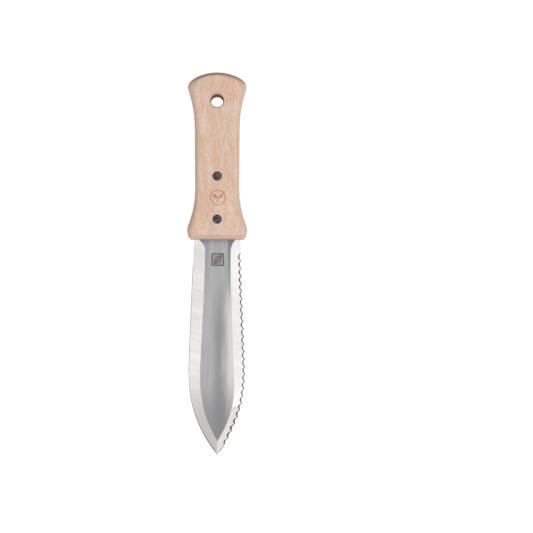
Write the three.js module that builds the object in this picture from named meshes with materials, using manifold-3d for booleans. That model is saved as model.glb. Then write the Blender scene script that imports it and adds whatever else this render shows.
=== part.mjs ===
// A hori hori, the Japanese digging knife. It has a dished steel blade with a ground bevel along each
// side, one edge plain and the other scalloped, and a flared one-piece beech handle. The handle is sawn
// open in the plane of the blade for the flat tang, and two two-part rivets close it.
//
// Frame: millimetres, +Z up. The knife hangs from the hole in its handle, so the origin is the centre of
// that hole, the handle is at the top and the tip points down. The dished front faces -Y.
// Every piece is drawn lying down: x across the knife, y along it towards the handle's top, z towards
// its front. The last group stands the knife up.

import * as THREE from 'three';
import { mergeVertices } from 'three/addons/utils/BufferGeometryUtils.js';
import { ParametricGeometry } from 'three/addons/geometries/ParametricGeometry.js';
import Module from 'manifold-3d';

// Driving dimensions: the handle
const HANDLE_TOP = 23.1;
const HANDLE_END = -111.5;
const HANDLE_THICKNESS = 24;
const TOP_ARC_RADIUS = 38;
const SHOULDER = { x: 23.75, y: 11.6 };
const WAIST_UPPER = { x: 18.1, y: -26 };
const WAIST_LOWER = { x: 17.9, y: -70.2 };
const FLARE = { x: 24.3, y: -103.7 };
const END_HALF_WIDTH = 21.5;
const CROWN_HALF_WIDTH = 17.6;
const ROUNDOVER_WIDTH = 4;
const ROUNDOVER_DEPTH = 6;
// How far each curve of the outline runs straight on, up or down, before it turns
const STRAIGHT_RUN = {
  corner: 1,
  belowFlare: 3,
  aboveFlare: 4,
  belowWaist: 20,
  aboveWaist: 26,
  belowShoulder: 4,
  aboveShoulder: 3.5,
};
// How far the curve above the shoulder leans in at once
const SHOULDER_LEAN = 0.4;
const OUTLINE_STEPS = 8;
const ROUNDOVER_STEPS = 4;
const HANG_HOLE_RADIUS = 5.05;
const HANG_HOLE_CHAMFER = 0.7;

// Driving dimensions: the blade and its tang
const ROOT_GAP = 0.3;
const BLADE_ROOT = HANDLE_END - ROOT_GAP;
const BLADE_TIP = -286.4;
const BELLY = -217.4;
const ROOT_HALF_WIDTH = 18.75;
const BELLY_HALF_WIDTH = 23.2;
const SIDE_SWELL = 1.15;
const POINT_FULLNESS = 2.37;
const STOCK_THICKNESS = 2.4;
const EDGE_THICKNESS = 0.3;
const DISH_RADIUS = 85;
const DISH_START = 3;
const DISH_RUN = 45;
const BEVEL_WIDTH = 9.5;
const BEVEL_WIDTH_LOSS_AT_TIP = 2.6;
const BEVEL_RUNOUT = 12;
const BEVEL_RUNOUT_LIFT = 1.1;
const RIDGE_SLOPE = 0.21;
const BLADE_SECTIONS = 40;
const SECTION_CROWDING = 1.3;
const TANG = { halfWidth: 14, top: -40, thickness: 2.3, corner: 6, overlap: 2 };
const KERF = { width: 2.7, sawLength: 100, top: -39.5 };

// Driving dimensions: the scallops
const FIRST_SCALLOP = -125.7;
const SCALLOP_SPACINGS = [{ count: 18, pitch: 6.12 }, { count: 7, pitch: 5.86 }];
const LAST_SCALLOP = SCALLOP_SPACINGS.reduce((y, { count, pitch }) => y - count * pitch, FIRST_SCALLOP);
const SCALLOP_RADIUS = 6;
const SCALLOP_TILT = THREE.MathUtils.degToRad(32);
const SCALLOP_INSET = 1.75;
// The first scallop and the last are this much shallower, and those within reach of them a little
const SHALLOW_START = { by: 0.4, reach: 24 };
const SHALLOW_END = { by: 1.1, reach: 10 };
const SCALLOP_CUTTER_LENGTH = 14;

// Driving dimensions: the rivets
const RIVETS = { upper: -60.6, lower: -95.3 };
const RIVET_HEAD = { radius: 3.6, thickness: 1, recess: 0.05 };
const RIVET_PIN = { radius: 1.5, end: -8 };
const RIVET_SOCKET = { radius: 2.3, bore: 1.75, mouth: 6, floor: -9.5 };
const HEAD_SEAT = { radius: 3.8, depth: 1.25 };
const SHANK_HOLE_RADIUS = 2.5;
const TANG_HOLE_RADIUS = 2.6;

const OVERSHOOT = 1;
const ROUND_SEGMENTS = 32;
const LARGE_ROUND_SEGMENTS = 48;
const WELD_DISTANCE = 1e-4;
const FACE = HANDLE_THICKNESS / 2;

const wasm = await Module();
wasm.setup();

// The merged, closed solid of a three.js geometry, without its zero-area triangles
function solid(geometry) {
  const bare = geometry.clone();
  bare.deleteAttribute('normal');
  bare.deleteAttribute('uv');
  const merged = mergeVertices(bare, WELD_DISTANCE);
  const corners = merged.index.array;
  const triangles = [];
  for (let i = 0; i < corners.length; i += 3) {
    const [a, b, c] = corners.slice(i, i + 3);
    if (a !== b && b !== c && c !== a) triangles.push(a, b, c);
  }
  return new wasm.Manifold(new wasm.Mesh({
    numProp: 3,
    vertProperties: new Float32Array(merged.attributes.position.array),
    triVerts: new Uint32Array(triangles),
  }));
}

function geometryOf(manifold) {
  const mesh = manifold.getMesh();
  const geometry = new THREE.BufferGeometry();
  geometry.setAttribute('position', new THREE.BufferAttribute(mesh.vertProperties, 3));
  geometry.setIndex(new THREE.BufferAttribute(mesh.triVerts, 1));
  const flat = geometry.toNonIndexed();
  flat.computeVertexNormals();
  return flat;
}

// A round cutter or pin about the z direction, from a profile of [radius, z] pairs
function turned(profile, y, segments) {
  const points = profile.map(([radius, height]) => new THREE.Vector2(radius, height));
  return new THREE.LatheGeometry(points, segments).rotateX(Math.PI / 2).translate(0, y, 0);
}

function roundHole(radius, y) {
  const end = FACE + OVERSHOOT;
  return solid(turned([[0, -end], [radius, -end], [radius, end], [0, end]], y, ROUND_SEGMENTS));
}

// ---- Handle ----

// The handle's outline, inset by a distance all round: the right-hand side from the blade end up to the
// crown, then its mirror image back down
function handleOutline(inset) {
  const end = { x: END_HALF_WIDTH - inset, y: HANDLE_END + inset };
  const flare = { x: FLARE.x - inset, y: FLARE.y };
  const shoulder = { x: SHOULDER.x - inset, y: SHOULDER.y };
  const waist = { x: WAIST_LOWER.x - inset, y: WAIST_LOWER.y };
  const upper = { x: WAIST_UPPER.x - inset, y: WAIST_UPPER.y };
  const crownCentre = HANDLE_TOP - TOP_ARC_RADIUS;
  const crownRadius = TOP_ARC_RADIUS - inset;
  const crownHalf = CROWN_HALF_WIDTH - inset / 2;
  const crownCorner = Math.acos(crownHalf / crownRadius);
  const crownEnd = { x: crownHalf, y: crownCentre + crownRadius * Math.sin(crownCorner) };
  const lean = { x: shoulder.x - SHOULDER_LEAN, y: shoulder.y };
  const corner = { x: flare.x - STRAIGHT_RUN.corner, y: end.y + STRAIGHT_RUN.corner };
  const aboveShoulder = STRAIGHT_RUN.aboveShoulder - inset / 2;
  const point = (from, rise = 0) => new THREE.Vector2(from.x, from.y + rise);
  const cubic = (...points) => new THREE.CubicBezierCurve(...points);
  const side = [
    cubic(point(end), point(corner), point(flare, -STRAIGHT_RUN.belowFlare), point(flare)),
    cubic(
      point(flare),
      point(flare, STRAIGHT_RUN.aboveFlare),
      point(waist, -STRAIGHT_RUN.belowWaist),
      point(waist),
    ),
    new THREE.LineCurve(point(waist), point(upper)),
    cubic(
      point(upper),
      point(upper, STRAIGHT_RUN.aboveWaist),
      point(shoulder, -STRAIGHT_RUN.belowShoulder),
      point(shoulder),
    ),
    new THREE.QuadraticBezierCurve(point(shoulder), point(lean, aboveShoulder), point(crownEnd)),
    new THREE.EllipseCurve(0, crownCentre, crownRadius, crownRadius, crownCorner, Math.PI / 2),
  ];
  const right = [point(end), ...side.flatMap((curve) => curve.getPoints(OUTLINE_STEPS).slice(1))];
  const left = right.slice(0, -1).reverse().map((p) => new THREE.Vector2(-p.x, p.y));
  return [...right, ...left];
}

// The handle as one skin: a point in the middle of the back, the rounded-over outlines from back to
// front, and a point in the middle of the front
function handleBody() {
  const rings = [];
  for (let i = 0; i <= ROUNDOVER_STEPS; i += 1) {
    const angle = i / ROUNDOVER_STEPS * Math.PI / 2;
    rings.push({
      outline: handleOutline(ROUNDOVER_WIDTH * (1 - Math.sin(angle))),
      z: ROUNDOVER_DEPTH * (1 - Math.cos(angle)) - FACE,
    });
  }
  const front = rings.map(({ outline, z }) => ({ outline, z: -z })).reverse();
  const skin = [...rings, ...front];
  const around = rings[0].outline.length;
  const along = skin.length + 1;
  return new ParametricGeometry((u, v, target) => {
    const row = Math.round(v * along);
    if (row === 0 || row === along) {
      target.set(0, (WAIST_UPPER.y + WAIST_LOWER.y) / 2, row === 0 ? -FACE : FACE);
      return;
    }
    const { outline, z } = skin[row - 1];
    const point = outline[Math.round(u * around) % around];
    target.set(point.x, point.y, z);
  }, around, along);
}

function handle() {
  const kerf = new THREE.BoxGeometry(KERF.sawLength, KERF.sawLength, KERF.width)
    .translate(0, KERF.top - KERF.sawLength / 2, 0);

  const mouth = HANG_HOLE_RADIUS + HANG_HOLE_CHAMFER;
  const hangHole = turned([
    [0, -FACE - OVERSHOOT],
    [mouth + OVERSHOOT, -FACE - OVERSHOOT],
    [HANG_HOLE_RADIUS, -FACE + HANG_HOLE_CHAMFER],
    [HANG_HOLE_RADIUS, FACE - HANG_HOLE_CHAMFER],
    [mouth + OVERSHOOT, FACE + OVERSHOOT],
    [0, FACE + OVERSHOOT],
  ], 0, LARGE_ROUND_SEGMENTS);

  let wood = solid(handleBody()).subtract(solid(kerf)).subtract(solid(hangHole));
  for (const y of Object.values(RIVETS)) {
    const seat = FACE - HEAD_SEAT.depth;
    wood = wood.subtract(solid(turned([
      [0, -FACE - OVERSHOOT],
      [HEAD_SEAT.radius, -FACE - OVERSHOOT],
      [HEAD_SEAT.radius, -seat],
      [SHANK_HOLE_RADIUS, -seat],
      [SHANK_HOLE_RADIUS, seat],
      [HEAD_SEAT.radius, seat],
      [HEAD_SEAT.radius, FACE + OVERSHOOT],
      [0, FACE + OVERSHOOT],
    ], y, ROUND_SEGMENTS)));
  }
  return geometryOf(wood);
}

// ---- Blade ----

// Half the blade's width: the sides widen slowly to the belly, then close to the tip
function halfWidth(y) {
  if (y > BELLY) {
    const run = (BLADE_ROOT - y) / (BLADE_ROOT - BELLY);
    return ROOT_HALF_WIDTH + (BELLY_HALF_WIDTH - ROOT_HALF_WIDTH) * (1 - (1 - run) ** SIDE_SWELL);
  }
  return BELLY_HALF_WIDTH * (1 - pointRun(y) ** POINT_FULLNESS);
}

function pointRun(y) {
  return THREE.MathUtils.clamp((BELLY - y) / (BELLY - BLADE_TIP), 0, 1);
}

// How far the pressed dish lifts the sheet towards the front, x from the centre line
function dish(x, y) {
  const share = THREE.MathUtils.smoothstep(BLADE_ROOT - y, DISH_START, DISH_START + DISH_RUN);
  return share * x * x / (2 * DISH_RADIUS);
}

// The ground bevel at one station: its slope, its height at the edge and where it meets the dish
function bevelAt(y) {
  const half = halfWidth(y);
  const width = BEVEL_WIDTH - BEVEL_WIDTH_LOSS_AT_TIP * pointRun(y) ** 2;
  const meeting = half - width;
  const edge = dish(half, y) - STOCK_THICKNESS / 2 + EDGE_THICKNESS;
  if (meeting <= 0) {
    return { edge, meeting: 0, top: Math.min(edge + RIDGE_SLOPE * half, STOCK_THICKNESS / 2) };
  }
  const slope = (dish(meeting, y) + STOCK_THICKNESS / 2 - edge) / width;
  const runout = Math.max(0, 1 - (BLADE_ROOT - y) / BEVEL_RUNOUT) ** 2 * BEVEL_RUNOUT_LIFT;
  const lifted = meeting + runout / slope;
  return { edge: edge + runout, meeting: lifted, top: dish(lifted, y) + STOCK_THICKNESS / 2 };
}

const FRONT_STEPS = [1, 2 / 3, 1 / 3, 0, -1 / 3, -2 / 3, -1];
const BACK_STEPS = [-1, -2 / 3, -1 / 3, 0, 1 / 3, 2 / 3, 1];

// The blade's section as [x, z] pairs: along the front from right to left, and back behind it
function bladeSection(y) {
  const half = halfWidth(y);
  const bevel = bevelAt(y);
  const front = FRONT_STEPS.map((step) => {
    const x = step * bevel.meeting;
    return [x, bevel.top - dish(bevel.meeting, y) + dish(x, y)];
  });
  const back = BACK_STEPS.map((step) => {
    const x = step * half;
    return [x, dish(x, y) - STOCK_THICKNESS / 2];
  });
  return [[half, bevel.edge], ...front, [-half, bevel.edge], ...back];
}

// The blade as one skin around its sections, closed by a fan at the root and by the tip
function bladeBody() {
  const around = FRONT_STEPS.length + BACK_STEPS.length + 2;
  const along = BLADE_SECTIONS;
  return new ParametricGeometry((u, v, target) => {
    const row = Math.round(v * along);
    if (row === 0) {
      target.set(0, BLADE_ROOT, 0);
      return;
    }
    const share = (row - 1) / (along - 1);
    const y = THREE.MathUtils.lerp(BLADE_ROOT, BLADE_TIP, 1 - (1 - share) ** SECTION_CROWDING);
    const [x, z] = bladeSection(y)[Math.round(u * around) % around];
    target.set(x, y, z);
  }, around, along);
}

function tang() {
  const { halfWidth: half, top, thickness, corner, overlap } = TANG;
  const bottom = BLADE_ROOT - overlap;
  const shape = new THREE.Shape();
  shape.moveTo(-half, bottom);
  shape.lineTo(half, bottom);
  shape.lineTo(half, top - corner);
  shape.absarc(half - corner, top - corner, corner, 0, Math.PI / 2, false);
  shape.absarc(corner - half, top - corner, corner, Math.PI / 2, Math.PI, false);
  return new THREE.ExtrudeGeometry(shape, { depth: thickness, bevelEnabled: false, curveSegments: 5 })
    .translate(0, 0, -thickness / 2);
}

// How deep a scallop's valley is cut
function scallopInset(y) {
  const start = Math.max(0, 1 - (FIRST_SCALLOP - y) / SHALLOW_START.reach);
  const end = Math.max(0, 1 - (y - LAST_SCALLOP) / SHALLOW_END.reach);
  return SCALLOP_INSET - SHALLOW_START.by * start - SHALLOW_END.by * end;
}

// One round groove of the scalloped edge. It runs down from the bevel to the back of the edge.
function scallopCutter(y) {
  const x = halfWidth(y) - scallopInset(y);
  const z = dish(x, y) - STOCK_THICKNESS / 2;
  const [radius, length] = [SCALLOP_RADIUS, SCALLOP_CUTTER_LENGTH];
  return new THREE.CylinderGeometry(radius, radius, length, LARGE_ROUND_SEGMENTS)
    .translate(SCALLOP_RADIUS, 0, 0)
    .rotateZ(Math.PI / 2 - SCALLOP_TILT)
    .rotateX(Math.PI / 2)
    .translate(x, y, z);
}

function scallopCentres() {
  const centres = [FIRST_SCALLOP];
  for (const { count, pitch } of SCALLOP_SPACINGS) {
    for (let i = 0; i < count; i += 1) {
      centres.push(centres.at(-1) - pitch);
    }
  }
  return centres;
}

function blade() {
  let steel = solid(bladeBody());
  for (const y of scallopCentres()) {
    steel = steel.subtract(solid(scallopCutter(y)));
  }
  steel = steel.add(solid(tang()));
  for (const y of Object.values(RIVETS)) {
    steel = steel.subtract(roundHole(TANG_HOLE_RADIUS, y));
  }
  return geometryOf(steel);
}

// ---- Rivets ----

const HEAD_TOP = FACE - RIVET_HEAD.recess;
const HEAD_UNDERSIDE = HEAD_TOP - RIVET_HEAD.thickness;

// The solid half, put in from the front
function rivetPin(y) {
  return turned([
    [0, RIVET_PIN.end],
    [RIVET_PIN.radius, RIVET_PIN.end],
    [RIVET_PIN.radius, HEAD_UNDERSIDE],
    [RIVET_HEAD.radius, HEAD_UNDERSIDE],
    [RIVET_HEAD.radius, HEAD_TOP],
    [0, HEAD_TOP],
  ], y, ROUND_SEGMENTS);
}

// The tubular half, put in from the back, which takes the pin
function rivetSocket(y) {
  return turned([
    [0, -HEAD_TOP],
    [RIVET_HEAD.radius, -HEAD_TOP],
    [RIVET_HEAD.radius, -HEAD_UNDERSIDE],
    [RIVET_SOCKET.radius, -HEAD_UNDERSIDE],
    [RIVET_SOCKET.radius, RIVET_SOCKET.mouth],
    [RIVET_SOCKET.bore, RIVET_SOCKET.mouth],
    [RIVET_SOCKET.bore, RIVET_SOCKET.floor],
    [0, RIVET_SOCKET.floor],
  ], y, ROUND_SEGMENTS);
}

// ---- Assembly ----

const MATERIALS = {
  beech: { color: 0xdcc0ac, roughness: 0.62, metalness: 0 },
  steel: { color: 0xa9a9a9, roughness: 0.38, metalness: 1 },
  rivet: { color: 0x56524e, roughness: 0.5, metalness: 1 },
};

function piece(name, geometry, material) {
  const mesh = new THREE.Mesh(geometry, new THREE.MeshStandardMaterial(MATERIALS[material]));
  mesh.name = name;
  return mesh;
}

const knife = new THREE.Group();
knife.add(piece('blade', blade(), 'steel'));
knife.add(piece('handle', handle(), 'beech'));
for (const [place, y] of Object.entries(RIVETS)) {
  knife.add(piece(`${place}_rivet_pin`, rivetPin(y), 'rivet'));
  knife.add(piece(`${place}_rivet_socket`, rivetSocket(y), 'rivet'));
}
knife.rotation.x = Math.PI / 2;

const standing = new THREE.Group();
standing.add(knife);
export default standing;
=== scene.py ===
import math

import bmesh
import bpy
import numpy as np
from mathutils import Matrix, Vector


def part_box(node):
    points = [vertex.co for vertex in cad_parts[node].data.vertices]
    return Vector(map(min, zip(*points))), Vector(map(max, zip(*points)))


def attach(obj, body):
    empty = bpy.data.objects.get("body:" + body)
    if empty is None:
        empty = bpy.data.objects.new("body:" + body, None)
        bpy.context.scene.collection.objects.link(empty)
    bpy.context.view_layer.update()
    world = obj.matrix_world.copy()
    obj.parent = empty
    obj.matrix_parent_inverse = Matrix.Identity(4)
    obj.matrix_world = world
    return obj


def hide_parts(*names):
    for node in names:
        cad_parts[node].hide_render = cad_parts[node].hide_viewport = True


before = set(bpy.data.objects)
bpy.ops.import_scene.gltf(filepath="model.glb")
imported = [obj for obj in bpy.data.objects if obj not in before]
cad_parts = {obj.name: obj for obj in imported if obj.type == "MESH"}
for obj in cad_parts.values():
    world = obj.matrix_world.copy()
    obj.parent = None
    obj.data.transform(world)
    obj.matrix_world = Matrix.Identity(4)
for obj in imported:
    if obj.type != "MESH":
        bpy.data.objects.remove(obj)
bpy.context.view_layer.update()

# A hori hori, the Japanese digging knife, hanging from the hole in its beech handle.
# Lengths here are millimetres: x across the knife, z up along it, and depth from the middle plane of
# the blade towards the front. mesh_object() turns them into metres in the shared frame, where the
# front faces -Y.

MM = 0.001
FRONT, BACK = 1, -1
# Double points closer than this, in metres, are merged
MERGE = 1e-7
# Edges that turn by more degrees than this stay crisp
CRISP = {"blade": 24, "handle": 20, "rivet": 35}
TURNED_STEPS = 96
DRILL_STEPS = 48

# The stage, with sizes and distances in metres. SKY is the strength of the light that comes from straight
# in front, and SKY_SLOPE how it changes along x, y and z. BACKDROP is what the camera sees.
SOFTBOX_DISTANCE = 1.9
SKY = 0.47
SKY_SLOPE = (0.26, 0.0, -0.1)
BACKDROP = 1.05
FLOOR_GLOW = 0.6
FLOOR_RADIUS = 1.9
FLOOR_DROP = 0.06
SOFTBOXES = (
    # name, degrees right of straight in front, degrees up, size, brightness
    ("right_softbox", 40, 4, 1.7, 0.78),
    ("left_softbox", -30, 0, 1.2, 0.68),
    ("front_softbox", 0, 32, 1.3, 0.95),
    ("back_softbox", 165, 25, 1.8, 0.6),
)

# The camera: its place in metres, focal length in millimetres and sideways shift
CAMERA_PLACE = (0.0003, -1.3, -0.1334)
CAMERA_LENS = 108.16
CAMERA_SHIFT = 0.0918
CAMERA_REACH = 200


def box_mm(node):
    low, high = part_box(node)
    return low / MM, high / MM


handle_low, handle_high = box_mm("handle")
blade_low, blade_high = box_mm("blade")

# Driving dimensions of the handle
HANDLE_TOP = handle_high.z
HANDLE_END = handle_low.z
FACE = handle_high.y
FLARE_HALF = handle_high.x
FLARE_Z = HANDLE_END + 7.8
SHOULDER = (23.75, 11.6)
WAIST_UPPER = (18.1, -26.0)
WAIST_LOWER = (17.9, -70.2)
END_HALF = 21.5
CROWN_HALF = 17.6
CROWN_RADIUS = 38.0
HOLE_RADIUS = 5.05
HOLE_CHAMFER = 0.7
KERF_WIDTH = 2.7
KERF_TOP = blade_high.z + 0.5
SIDE_ROUND_DEPTH = 7.0
CROWN_CHAMFER_DEPTH = 3.6
END_CHAMFER_DEPTH = 2.2
FLAT_INSET = {"waist": 4.0, "flare": 5.4, "crown": 2.8, "end": 2.7}
END_INSET_SHARE = 0.75
CROWN_INSET_SHARE = 0.5
QUARTER_STEPS = 12
# How far the cutters reach past the handle
PAST = 1.0

# How far the control points of the outline's curves reach past the ends of the curves, the number of
# steps in each curve, and where along its curve the end's chamfer fades out and the crown's fades in
END_CORNER_REACH = {"in": 1, "up": 1, "down": 3}
FLARE_REACH = {"flare": 4, "waist": 20}
SHOULDER_REACH = {"waist": 26, "shoulder": 4}
CROWN_CORNER_REACH = {"in": 0.4, "up": 3.5}
CURVE_STEPS = {"end": 14, "corner": 12, "waist": 10, "side": 24, "crown": 24}
END_FADE = (0, 0.9)
CROWN_FADE = (-0.1, 0.5)

# Driving dimensions of the blade
BLADE_ROOT = HANDLE_END - 0.3
BLADE_TIP = blade_low.z
BELLY = -217.4
BELLY_HALF = -blade_low.x
ROOT_HALF = 18.75
STOCK = 2.4
EDGE = 0.3
KEEN_EDGE = 0.1
BELLY_POWER = 1.15
POINT_POWER = 2.37
DISH_RADIUS = 85.0
DISH_RUN = 50.0
FLAT_STRIP_HALF = 6.0
RUNOUT = 9.0
RUNOUT_LIFT = 1.0
RIDGE_SLOPE = 0.21
TANG_HALF = 14.0
TANG_THICKNESS = 2.3
TANG_CORNER = 6.0
TANG_CORNER_STEPS = 8
TANG_HOLE = 2.6
TANG_OVERLAP = 1.5
DRILL_REACH = 4.0

# The bevels: width at the handle, what they gain or lose further down and at the point, and how far
# they flare out by the handle
LEFT_BEVEL = {"width": 9.3, "bulge": 0.6, "point": -1.35, "flare": 5.3}
RIGHT_BEVEL = {
    "width": 9.6, "gain": 0.3, "root": -2.2, "root_fade": 20, "point": -6.2, "point_curve": 4.6, "flare": 3.4,
}

# The sharpened strip of the plain edge: its width by the handle, what it gains between two distances
# below the handle, and what it gains at the point. PAST_SCALLOPS is the strip on the other side where no
# scallop is cut.
KEEN_WIDTH = {"root": 0.03, "gain": 0.3, "from": 19, "to": 24, "point": 0.9}
PAST_SCALLOPS = {"above_belly": 0.03, "below_belly": 0.7}
MOST_KEEN_SHARE = 0.3

# Driving dimensions of the scallops
FIRST_SCALLOP = -125.7
SCALLOP_SPACINGS = ((18, 6.12), (7, 5.86))
SCALLOP_RADIUS = 6.0
SCALLOP_TILT = math.radians(32)
SCALLOP_INSET = 1.75
LEAST_SCALLOP_FACE = 0.95
LEAST_BEVEL_SHARE = 0.2
LEAST_WIDTH = 1e-6
SCALLOP_REACH = 0.9
SHALLOW_START = {"by": 0.4, "reach": 24}
SHALLOW_END = {"by": 1.1, "reach": 10}

# The blade's rows and columns
ROW_STEP = 0.5
ABOVE_FIRST_SCALLOP = 3.2
BELOW_LAST_SCALLOP = 1.2
EDGE_COLUMNS = 2
BEVEL_COLUMNS = 10
FACE_COLUMNS = 30
SCALLOP_COLUMNS = 4

# Driving dimensions of the rivets
RIVETS = {name: sum(c.z for c in box_mm(name + "_rivet_pin")) / 2 for name in ("upper", "lower")}
RIVET_HOLE = 2.5
HEAD_SEAT = (3.75, 1.25)
HEAD_UNDERSIDE = {"radius": 3.5, "depth": 11.0}
# The heads' domed profile from the rim inwards, as (radius, depth) pairs
HEAD_PROFILE = (
    (3.6, 11.1), (3.6, 11.75), (3.52, 11.9), (3.3, 12.0), (2.6, 12.08), (2.2, 12.08),
    (2.0, 12.03), (1.7, 12.04), (1.2, 12.1), (0.5, 12.13), (0, 12.13),
)
PIN = {"radius": 1.5, "end": -8.0}
SOCKET = {"radius": 2.3, "end": -6.0, "bore": 1.75, "bore_floor": 9.5}
# The radii of the painted highlight rings on the heads
HEAD_RINGS = (1.7, 3.0)

# The two small leaf marks: where they are and how large
BRAND = {"x": 0.5, "z": (RIVETS["upper"] + RIVETS["lower"]) / 2, "radius": 5.95, "line": 0.7}
ETCHING = {"x": 0.5, "z": BLADE_ROOT - 16.0, "half": 5.2, "corner": 0.8, "line": 1.0}


def srgb(red, green, blue):
    """A linear colour from the 0-255 values it shows as."""
    def linear(value):
        value /= 255
        return value / 12.92 if value <= 0.04045 else ((value + 0.055) / 1.055) ** 2.4
    return (linear(red), linear(green), linear(blue), 1.0)


BEECH = {
    "tan": srgb(222, 197, 178),
    "pale": srgb(237, 217, 203),
    "orange": srgb(227, 193, 168),
    "fleck": srgb(205, 147, 110),
    "end_edge": srgb(158, 104, 80),
    # side is painted shade on the rounded sides; end_dark and end_mid give the crown's end grain, darkened
    # further as painted shade
    "side": srgb(200, 172, 154),
    "end_dark": srgb(116, 93, 83),
    "end_mid": srgb(188, 160, 145),
    "end_tan": srgb(184, 156, 140),
    "end_grey": srgb(200, 177, 163),
    "end_line": srgb(186, 138, 112),
    "rim": srgb(150, 96, 64),
    "burnt": srgb(190, 120, 76),
    "drilled_dark": srgb(128, 70, 44),
    "drilled_light": srgb(182, 128, 94),
}
STEEL = {
    "dish_dark": srgb(184, 183, 184),
    "dish_light": srgb(200, 199, 200),
    "dish_line": srgb(150, 149, 151),
    # dish_bright, dish_blue, dish_low and the flank colours are mostly painted reflections on the dish;
    # dish_bright also colours real scratches and flank_blue real stains on the back
    "dish_bright": srgb(232, 230, 229),
    "dish_blue": srgb(167, 168, 171),
    "dish_low": srgb(136, 135, 137),
    "flank_blue": srgb(152, 158, 164),
    "flank_dark": srgb(140, 147, 154),
    "etched": srgb(104, 96, 92),
    # The bevel colours: the right ones brighter than the left as painted light; bevel_line also paints the
    # darker bevels by the handle besides the grinding lines, and point_left and point_right paint shade on
    # the point's facets
    "bevel_left": srgb(251, 249, 248),
    "bevel_left_dull": srgb(243, 240, 238),
    "bevel_right": srgb(253, 252, 251),
    "bevel_right_dull": srgb(249, 246, 244),
    "bevel_line": srgb(214, 208, 204),
    "point_left": srgb(190, 185, 182),
    "point_right": srgb(222, 216, 211),
    "rivet_dark": srgb(46, 45, 46),
    "rivet_light": srgb(92, 90, 92),
    # The lightest rivet colour paints highlight rings on the heads
    "rivet_highlight": srgb(182, 184, 187),
    # The edge and scallop colours are darkened as painted shade
    "edge_dark": srgb(74, 68, 65),
    "edge_light": srgb(112, 105, 101),
    "scallop_dark": srgb(82, 75, 72),
    "scallop_light": srgb(114, 107, 103),
}

# The heights between which each painted tone of the steel comes in, from the first to the second: painted
# reflections on the dish and the bevels, and painted shade on the point's left facet
TONE_HEIGHTS = {
    "bright_from_above": (-132.0, -178.0),
    "bright_from_below": (-278.0, -230.0),
    "flanks": (-165.0, -118.0),
    "core": (-130.0, -190.0),
    "low": (-215.0, -262.0),
    "bevels_by_handle": (-150.0, -118.0),
    "left_point": (-208.0, -262.0),
}
# The line at which the right bevel's point is ground again, with the facet below it painted darker as painted
# shade, and how the leaf marks are drawn
REGROUND = {"z": -250.0, "slope": 0.22, "soft": 0.4}
LEAF_PAIR = {"base": (0.2, -0.6), "tip": (4.1, 2.9), "width": 2.4, "stem": 3.8, "stem_drop": 2.5}
ETCHED_LEAF = {
    "base": (-2.7, -3.1), "tip": (2.9, 3.2), "width": 4.0, "vein_gap": 0.8, "direction": (0.66, 0.75),
}

# How far the grain wanders, the burnished ring around the hole, where the crown's end grain and its painted
# shade come in, and the flecks: cells per millimetre across and along the grain, strength, and the shift of
# the pattern
GRAIN_DRIFT = 14.0
BURNISH_RADIUS = HOLE_RADIUS * 1.42
CROWN_HEIGHTS = (12.0, 15.5)
FLECKS = (
    (1.7, 0.25, 1.0, 0.0),
    (2.4, 0.36, 0.85, 31.0),
    (1.3, 0.19, 0.75, 77.0),
)


# ---- Mesh helpers ----

def mesh_object(name, points, faces, zones=None):
    """An object from points in x, depth, z in millimetres. zones gives each face's material number."""
    mesh = bpy.data.meshes.new(name)
    mesh.from_pydata([(x * MM, -depth * MM, z * MM) for x, depth, z in points], [], faces)
    if zones is not None:
        mesh.polygons.foreach_set("material_index", zones)
    obj = bpy.data.objects.new(name, mesh)
    bpy.context.scene.collection.objects.link(obj)
    return obj


def tube_faces(rows, columns):
    """The quads of a tube of rows, each a ring of columns."""
    faces = []
    for r in range(rows - 1):
        for c in range(columns):
            d = (c + 1) % columns
            low, high = r * columns, (r + 1) * columns
            faces.append((low + c, low + d, high + d, high + c))
    return faces


def tidy(obj):
    """Merges double points, drops zero-area faces and turns every face outwards."""
    bm = bmesh.new()
    bm.from_mesh(obj.data)
    bmesh.ops.remove_doubles(bm, verts=bm.verts, dist=MERGE)
    bmesh.ops.dissolve_degenerate(bm, edges=bm.edges, dist=MERGE)
    bmesh.ops.recalc_face_normals(bm, faces=bm.faces)
    bm.to_mesh(obj.data)
    bm.free()


def boolean(obj, cutter, operation="DIFFERENCE"):
    """Joins or cuts obj with cutter, which is used up. New faces keep the cutter's material."""
    modifier = obj.modifiers.new("join", "BOOLEAN")
    modifier.operation = operation
    modifier.solver = "MANIFOLD"
    modifier.object = cutter
    depsgraph = bpy.context.evaluated_depsgraph_get()
    made = bpy.data.meshes.new_from_object(obj.evaluated_get(depsgraph), depsgraph=depsgraph)
    obj.modifiers.clear()
    obj.data = made
    bpy.data.objects.remove(cutter)


def shade(obj, angle):
    """Smooth shading with a crisp edge wherever two materials meet or the surface turns sharply."""
    bm = bmesh.new()
    bm.from_mesh(obj.data)
    for face in bm.faces:
        face.smooth = True
    for edge in bm.edges:
        if len(edge.link_faces) == 2:
            a, b = edge.link_faces
            edge.smooth = a.material_index == b.material_index and edge.calc_face_angle(0) < angle
    bm.to_mesh(obj.data)
    bm.free()


def turned(name, profile, z, segments=TURNED_STEPS, front=FRONT):
    """A solid of revolution about the depth direction, from (radius, depth) pairs, axis to axis."""
    points, rows = [], []
    for radius, depth in profile:
        row = []
        for i in range(segments if radius > 0 else 1):
            turn = 2 * math.pi * i / segments
            row.append(len(points))
            points.append((radius * math.cos(turn), depth * front, z + radius * math.sin(turn)))
        rows.append(row)
    faces = []
    for low, high in zip(rows, rows[1:]):
        for i in range(segments):
            j = (i + 1) % segments
            ring = [low[i % len(low)], low[j % len(low)], high[j % len(high)], high[i % len(high)]]
            faces.append(list(dict.fromkeys(ring)))
    obj = mesh_object(name, points, faces)
    tidy(obj)
    return obj


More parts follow.
